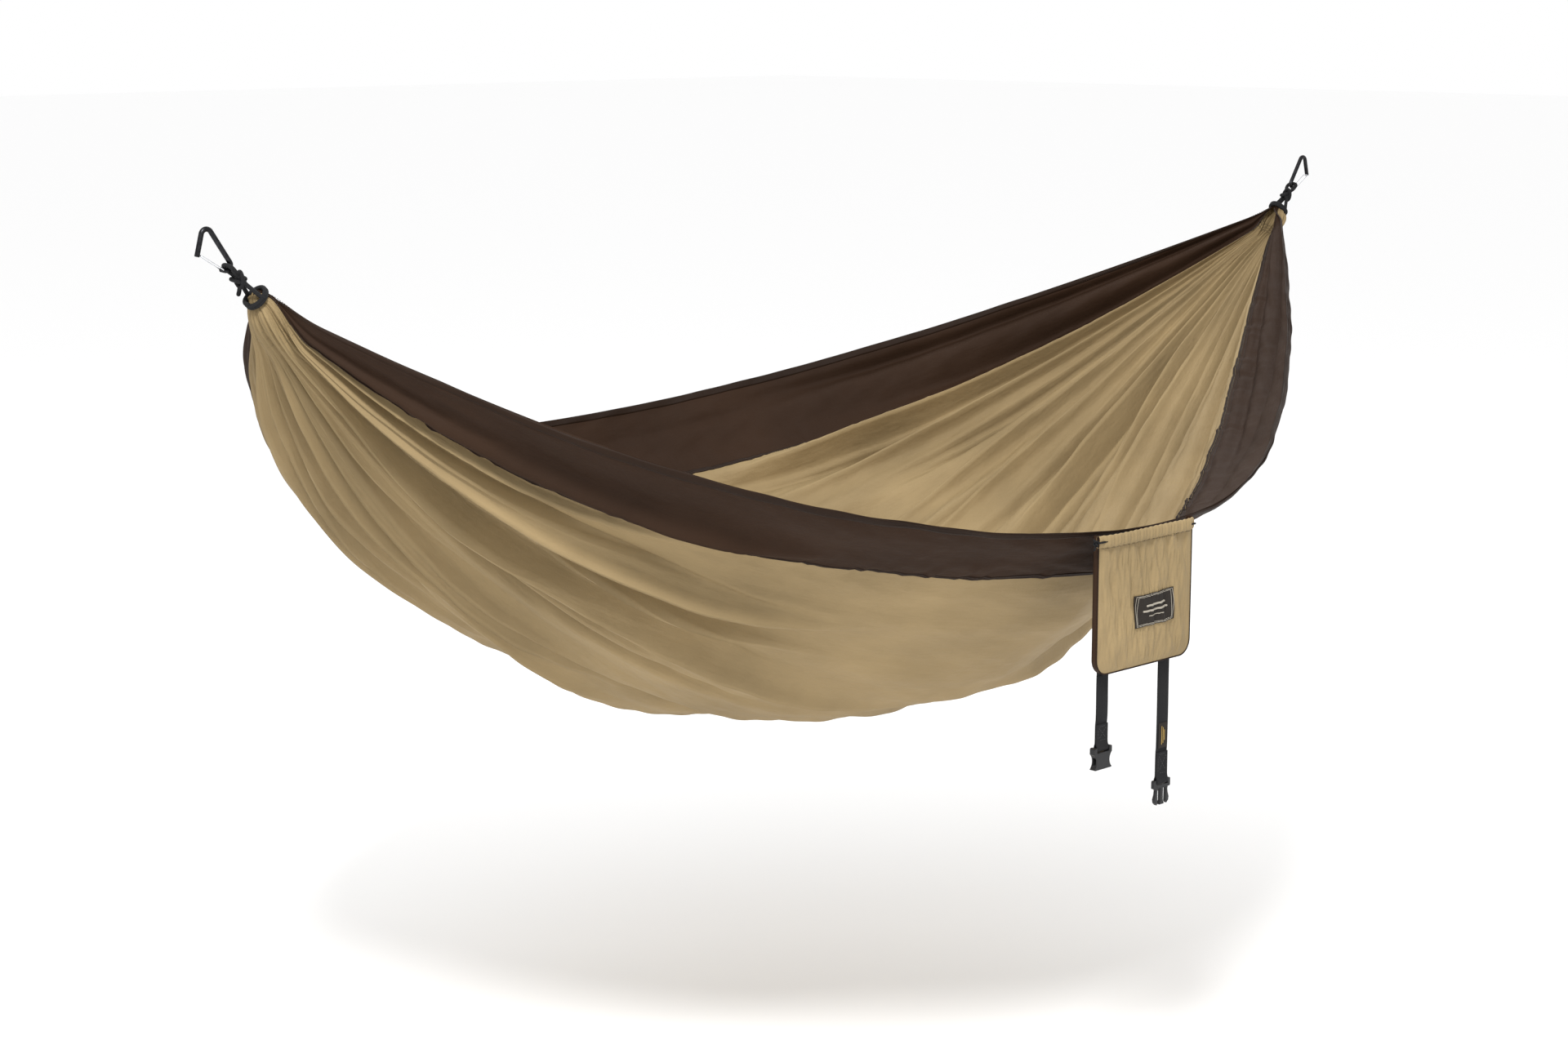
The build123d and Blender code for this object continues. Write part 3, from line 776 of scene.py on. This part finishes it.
# the rows of stitching that close the channel, round each gathered end
for end, rows_from_neck in (("left", 1), ("right", -1)):
    widths = np.linspace(NEAR_SEAM_U + 8 * MM, FAR_SEAM_U - 8 * MM, 900)
    raised = cloth(widths, np.full(len(widths), 0.8 * MM))
    for k, row in enumerate((15, 18, 21)):
        index = row if rows_from_neck > 0 else raised.shape[0] - 1 - row
        line = [Vector(p) for p in raised[index]]
        tube(f"{end}_channel_stitching_{k + 1}", line, 0.45 * MM, "hammock", thread_khaki, sides=5)

# =============================================================== pouch
POUCH_LOW, POUCH_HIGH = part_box("pouch_front")
POUCH_X = (POUCH_LOW[0] + POUCH_HIGH[0]) / 2
POUCH_HALF_W = (POUCH_HIGH[0] - POUCH_LOW[0]) / 2
POUCH_TOP, POUCH_BOTTOM = POUCH_HIGH[2], POUCH_LOW[2]
POUCH_H = POUCH_TOP - POUCH_BOTTOM
POUCH_CORNER = 22 * MM
POUCH_BACK = POUCH_HIGH[1]
GUSSET = 8 * MM
PUFF = 4.5 * MM


def pouch_half_width(height):
    """Half the pouch's width at a height above its bottom."""
    inside = np.clip(POUCH_CORNER - height, 0, POUCH_CORNER)
    return POUCH_HALF_W - POUCH_CORNER + np.sqrt(POUCH_CORNER**2 - inside**2)


def pouch_depth(across, height):
    """How far the front stands from the back: across from -1 to 1, height above the bottom."""
    edge = np.clip(1 - np.abs(across) ** 5, 0, 1) * np.clip(1 - np.exp(-height / (14 * MM)), 0, 1)
    x = across * POUCH_HALF_W
    crinkle = 0.7 * MM * waves(x, height, (0.010, 0.07), 11, 21) + 1.4 * MM * waves(x, height, (0.045, 0.10), 7, 22)
    pull = np.exp(-(((x + height - 0.055) / 0.010) ** 2)) + 0.8 * np.exp(-(((x + height * 0.8 - 0.018) / 0.007) ** 2))
    corner = np.exp(-np.hypot(x + POUCH_HALF_W, height - POUCH_H) / 0.07)
    return GUSSET + edge * (PUFF + crinkle - 4.2 * MM * pull * corner)


def pouch_front_cloth():
    rows, columns = 110, 110
    height = np.linspace(0, POUCH_H - 2 * MM, rows)[:, None]
    across = np.linspace(-1, 1, columns)[None, :]
    x = POUCH_X + across * pouch_half_width(height)
    y = POUCH_BACK - pouch_depth(across, height)
    z = POUCH_BOTTOM + height + 0 * across
    points = np.stack([x, y, z], axis=-1).reshape(-1, 3)
    piece = new_object("pouch_front_cloth", points, grid_faces(rows, columns), "pouch")
    piece.data.materials.append(pouch_khaki)
    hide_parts("pouch_front")
    return piece


def pouch_outline(step=2 * MM):
    """The pouch's edge from the top left, round the bottom, to the top right."""
    turn = np.linspace(0, math.pi / 2, 14)
    half, r = POUCH_HALF_W, POUCH_CORNER
    left_down = [(-half, z) for z in np.arange(POUCH_H, r, -step)]
    left_arc = [(-half + r - r * math.cos(a), r - r * math.sin(a)) for a in turn]
    bottom = [(x, 0.0) for x in np.arange(-half + r + step, half - r, step)]
    right_arc = [(half - r + r * math.sin(a), r - r * math.cos(a)) for a in turn]
    right_up = [(half, z) for z in np.arange(r + step, POUCH_H + step / 2, step)]
    return np.array(left_down + left_arc + bottom + right_arc + right_up)


def pouch_back_cloth():
    """The back panel with its gusset: a tray that the front panel closes."""
    edge = pouch_outline()
    count = len(edge)
    rings = []
    for share in (0.0, 0.5, 0.93, 1.0):
        rings.append(np.stack([POUCH_X + edge[:, 0] * share, np.full(count, POUCH_BACK + 0.5 * MM),
                               POUCH_BOTTOM + POUCH_H / 2 + (edge[:, 1] - POUCH_H / 2) * share], axis=1))
    for depth in (0.25, 0.6, 1.0):
        bow = 1 + 0.006 * math.sin(math.pi * depth)
        rings.append(np.stack([POUCH_X + edge[:, 0] * bow, np.full(count, POUCH_BACK - GUSSET * depth),
                               POUCH_BOTTOM + edge[:, 1]], axis=1))
    points = np.stack(rings).reshape(-1, 3)
    piece = new_object("pouch_back_cloth", points, grid_faces(len(rings), count), "pouch")
    piece.data.materials.append(pouch_brown)
    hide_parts("pouch_back")
    return piece


def pouch_piping():
    """The rounded seam allowance round the pouch's edge."""
    edge = pouch_outline()
    line = [Vector((POUCH_X + x, POUCH_BACK - GUSSET, POUCH_BOTTOM + z)) for x, z in edge]
    return tube("pouch_piping", line, 1.1 * MM, "pouch", seam_brown, sides=8)


def pouch_hem_tube():
    """The drawcord channel along the mouth: a soft flattened tube with small gathers."""
    low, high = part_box("pouch_hem")
    rows, sides = 150, 18
    middle_z, half_h = (low[2] + high[2]) / 2, (high[2] - low[2]) / 2
    points = []
    for i in range(rows):
        across = 2 * i / (rows - 1) - 1
        x = POUCH_X + across * (POUCH_HALF_W + 1 * MM)
        front = POUCH_BACK - GUSSET - 6.5 * MM * (1 - abs(across) ** 9)
        ruffle = 0.5 * MM * math.sin(95 * across) + 0.5 * MM * math.sin(37 * across + 1)
        sag = 0.5 * MM * math.sin(3 * across)
        for k in range(sides):
            turn = 2 * math.pi * k / sides
            y = front + 0.3 * MM + (3.1 * MM + ruffle) * math.cos(turn)
            z = middle_z + sag + half_h * math.copysign(abs(math.sin(turn)) ** 0.8, math.sin(turn))
            points.append((x, y, z + 0.4 * MM * math.sin(60 * across) * math.sin(turn)))
    faces = grid_faces(rows, sides, around=True)
    piece = new_object("pouch_hem_cloth", points, faces, "pouch")
    piece.data.materials.append(pouch_khaki)
    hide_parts("pouch_hem")
    return piece


pouch_front = pouch_front_cloth()
pouch_back = pouch_back_cloth()
pouch_edge = pouch_piping()
pouch_hem = pouch_hem_tube()
HEM_LOW, HEM_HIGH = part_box("pouch_hem")


def front_line(height, lift):
    """A level line across the pouch's front at a height above its bottom."""
    across = np.linspace(-0.97, 0.97, 120)
    x = POUCH_X + across * pouch_half_width(np.full(120, height))
    y = POUCH_BACK - pouch_depth(across, np.full(120, height)) - lift
    return np.stack([x, y, np.full(120, POUCH_BOTTOM + height)], axis=1)


hem_line_height = HEM_LOW[2] - POUCH_BOTTOM - 1.2 * MM
pouch_stitches = stitches(
    "pouch_hem_stitches",
    [(front_line(hem_line_height, 0.5 * MM), front_line(hem_line_height, 1.5 * MM))],
    thread_khaki,
    "pouch",
)


def drawcord():
    """The mouth's drawcord, with the knot that stops it at the left."""
    low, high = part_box("pouch_drawcord")
    y, z = (HEM_LOW[1] + HEM_HIGH[1]) / 2, (HEM_LOW[2] + HEM_HIGH[2]) / 2
    left = low[0] + 5 * MM
    route = [(left, y, z), (left + 0.05, y, z), (left + 0.11, y, z), (left + 0.17, y, z), (high[0], y, z)]
    line = smooth_route([Vector(p) for p in route])
    cord = tube("drawcord", line, 1.4 * MM, "pouch", cord_black, sides=10)
    knot_points = []
    for i in range(90):
        s = 2 * math.pi * i / 90
        reach = 1.35 * MM * (1.6 + math.cos(3 * s))
        knot_points.append(
            Vector((left, y, z)) + Vector((2.2 * MM * math.sin(3 * s), reach * math.cos(2 * s), reach * math.sin(2 * s)))
        )
    knot = tube("drawcord_knot", knot_points, 1.35 * MM, "pouch", cord_black, sides=10, closed=True)
    for k, (dx, dz) in enumerate(((-6, 6), (-5, -8))):
        route = [Vector((left, y, z)), Vector((left + dx * 0.5 * MM, y - 1 * MM, z + dz * 0.6 * MM))]
        route.append(Vector((left + dx * MM, y - 1 * MM, z + dz * MM)))
        name = f"drawcord_tail_{k + 1}"
        tube(name, smooth_route(route), 1.3 * MM, "pouch", cord_black, sides=10)
    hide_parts("pouch_drawcord")


drawcord()


def label():
    """A plain woven patch that follows the pouch's front, with a border and generic bars."""
    low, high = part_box("pouch_label")
    mid_x, mid_z = (low[0] + high[0]) / 2, (low[2] + high[2]) / 2
    half_w, half_h = (high[0] - low[0]) / 2, (high[2] - low[2]) / 2
    tilt = math.radians(1.5)

    def on_front(x, z, lift):
        across = (x - POUCH_X) / POUCH_HALF_W
        return POUCH_BACK - float(pouch_depth(np.array(across), np.array(z - POUCH_BOTTOM))) - lift

    def place(a, b, lift):
        x = mid_x + half_w * a * math.cos(tilt) - half_h * b * math.sin(tilt)
        z = mid_z + half_h * b * math.cos(tilt) + half_w * a * math.sin(tilt)
        return (x, on_front(x, z, lift), z)

    columns, rows = 43, 25
    points = [place(2 * i / (columns - 1) - 1, 2 * j / (rows - 1) - 1, 1.2 * MM) for j in range(rows) for i in range(columns)]
    patch = new_object("label_patch", points, grid_faces(rows, columns), "pouch")
    solid = patch.modifiers.new("thickness", "SOLIDIFY")
    solid.thickness = 1.0 * MM
    solid.offset = 0
    patch.data.materials.append(label_black)
    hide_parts("pouch_label")
    trims = []
    for k, inset in enumerate((0.93, 0.86)):
        corners = [(-inset, -inset), (inset, -inset), (inset, inset), (-inset, inset)]
        line = []
        for (a0, b0), (a1, b1) in zip(corners, corners[1:] + corners[:1]):
            for s in np.linspace(0, 1, 24, endpoint=False):
                line.append(Vector(place(a0 + (a1 - a0) * s, b0 + (b1 - b0) * s, 1.9 * MM)))
        trims.append(tube(f"label_border_{k + 1}", line, 0.4 * MM, "pouch", label_thread, 6, closed=True))
    for k, (b, reach) in enumerate(((0.28, 0.5), (-0.05, 0.62), (-0.38, 0.36))):
        line = [Vector(place(s * reach, b, 1.9 * MM)) for s in np.linspace(-1, 1, 30)]
        radius = (1.5 if k < 2 else 0.7) * MM
        trims.append(tube(f"label_bar_{k + 1}", line, radius, "pouch", label_thread, 8))
    for trim in trims:
        trim.parent = patch
    return patch


label_patch = label()


# =============================================================== webbing
def web_strip(name, path, x_middle, width, thick, body, surface):
    """Flat webbing along a path of (y, z), with rounded selvedges."""
    across = np.array([-1, -0.97, -0.85, -0.5, 0, 0.5, 0.85, 0.97, 1]) * width / 2
    half = thick / 2 * np.array([0.25, 0.75, 1, 0.96, 1, 0.96, 1, 0.75, 0.25])
    path = np.asarray(path)
    tangent = unit(np.gradient(path, axis=0))
    normal = np.stack([-tangent[:, 1], tangent[:, 0]], axis=1)
    reach = np.concatenate([[0], np.cumsum(np.linalg.norm(np.diff(path, axis=0), axis=1))])
    points, us, vs = [], [], []
    for i in range(len(path)):
        for sign, order in ((1, range(9)), (-1, range(8, -1, -1))):
            for k in order:
                y, z = path[i] + normal[i] * half[k] * sign
                points.append((x_middle + across[k], y, z))
                us.append(across[k])
                vs.append(reach[i])
    ring = 18
    faces = grid_faces(len(path), ring, around=True)
    faces.append(tuple(range(ring)))
    faces.append(tuple(reversed(range((len(path) - 1) * ring, len(path) * ring))))
    piece = new_object(name, points, faces, body)
    point_attribute(piece, "flat_u", us)
    point_attribute(piece, "flat_v", vs)
    piece.data.materials.append(surface)
    return piece


WEB_W, WEB_T = 25 * MM, 1.8 * MM
STRAP_Y = -0.7486
HINGE_Z = -0.6112


def hanging_strap(name, x, run, doubled, body):
    """A strap from its hinge line, round the buckle's bar and sewn back on itself."""
    route = [
        (0, 3), (0.2, -12), (-0.2, -run * 0.4), (0, -run + doubled + 7), (0.9, -run + doubled), (0.9, -run + 14),
        (1.0, -run + 7), (2.9, -run + 2.5), (2.9, -run - 2.4), (0, -run - 3.6), (-2.9, -run - 2.4),
        (-2.9, -run + 2.5), (-1.0, -run + 7), (-0.95, -run + 14), (-0.95, -run + doubled),
    ]
    line = smooth_route([Vector((0, STRAP_Y + y * MM, HINGE_Z + z * MM)) for y, z in route])
    path = [(p.y, p.z) for p in line]
    strap = web_strip(f"{name}_webbing", path, x, WEB_W, WEB_T, body, webbing_black)
    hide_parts(name)
    top, bottom = HINGE_Z + (-run + doubled - 3) * MM, HINGE_Z + (-run + 12) * MM
    front = STRAP_Y - 1.9 * MM
    half = WEB_W / 2 - 3 * MM
    box_corners = [(x - half, top), (x + half, top), (x + half, bottom), (x - half, bottom), (x - half, top)]
    diagonals = [[(x - half, top), (x + half, bottom)], [(x + half, top), (x - half, bottom)]]
    lines = []
    for corners in [box_corners, *diagonals]:
        for (x0, z0), (x1, z1) in zip(corners, corners[1:]):
            share = np.linspace(0, 1, 12)
            flat = np.stack([x0 + (x1 - x0) * share, np.full(12, front), z0 + (z1 - z0) * share], axis=1)
            lines.append((flat, flat - np.array([0, MM, 0])))
    stitched = stitches(f"{name}_stitches", lines, thread_black, body)
    stitched.parent = strap
    return strap


SHORT_X, LONG_X = -0.298, -0.163
short_strap = hanging_strap("short_strap", SHORT_X, 100, 34, "short_strap")
long_strap = hanging_strap("long_strap", LONG_X, 172, 42, "long_strap")


def band():
    """The webbing across the pouch's back that the two straps come from."""
    low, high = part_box("strap_band")
    middle = (low[0] + high[0]) / 2
    path = [(STRAP_Y, z) for z in np.linspace(low[2], high[2], 12)]
    piece = web_strip("strap_band_webbing", path, middle, high[0] - low[0], WEB_T, "pouch", webbing_black)
    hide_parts("strap_band")
    return piece


strap_band = band()


def strap_tag():
    """A small folded tag on the long strap, with plain woven bars in place of lettering."""
    low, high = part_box("strap_tag")
    x, y = (low[0] + high[0]) / 2, (low[1] + high[1]) / 2
    path = [(y - 0.3 * MM * math.sin(math.pi * s), low[2] + (high[2] - low[2]) * s) for s in np.linspace(0, 1, 16)]
    tag = web_strip("strap_tag_cloth", path, x, high[0] - low[0], 0.9 * MM, "long_strap", label_black)
    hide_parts("strap_tag")
    for k, (shift, reach) in enumerate(((-3.0, 0.36), (0.0, 0.30), (3.0, 0.20))):
        middle = (low[2] + high[2]) / 2
        run = (high[2] - low[2]) * reach
        line = [Vector((x + shift * MM, y - 0.95 * MM, middle + run * s)) for s in np.linspace(-1, 1, 12)]
        bar = tube(f"tag_bar_{k + 1}", line, 0.35 * MM, "long_strap", tag_thread, 6)
        bar.parent = tag
    return tag


strap_tag()

# =============================================================== stage, light and camera
floor_z = -1.30
bpy.ops.mesh.primitive_plane_add(size=80, location=(0, 0, floor_z))
floor = bpy.context.object
floor.name = "floor"
floor.data.materials.append(Nodes("floor_paint", (0.975, 0.975, 0.975), 0.95, specular=0.05).material)

world = bpy.data.worlds.new("studio")
bpy.context.scene.world = world
world.use_nodes = True
world.node_tree.nodes["Background"].inputs["Color"].default_value = (1, 1, 1, 1)
world.node_tree.nodes["Background"].inputs["Strength"].default_value = 1.0
bpy.context.scene.view_settings.view_transform = "Standard"


def soft_light(name, place, aim, size, power):
    lamp = bpy.data.lights.new(name, "AREA")
    lamp.shape = "DISK"
    lamp.size = size
    lamp.energy = power
    holder = bpy.data.objects.new(name, lamp)
    holder.location = place
    holder.rotation_euler = (Vector(aim) - Vector(place)).to_track_quat("-Z", "Y").to_euler()
    bpy.context.scene.collection.objects.link(holder)


soft_light("key", (-2.4, -1.9, 2.6), (-0.1, 0, -0.4), 0.9, 170)
soft_light("rim", (2.5, 1.5, 2.4), (0, 0, -0.4), 2.0, 30)

camera_data = bpy.data.cameras.new("camera")
camera_data.lens = 66.7
camera_data.sensor_width = 36
camera = bpy.data.objects.new("camera", camera_data)
camera.location = (-3.3255, -3.1555, 0.2962)
aim = Vector((-0.1591, 0, -0.5119))
camera.rotation_euler = (aim - camera.location).to_track_quat("-Z", "Y").to_euler()
bpy.context.scene.collection.objects.link(camera)
bpy.context.scene.camera = camera
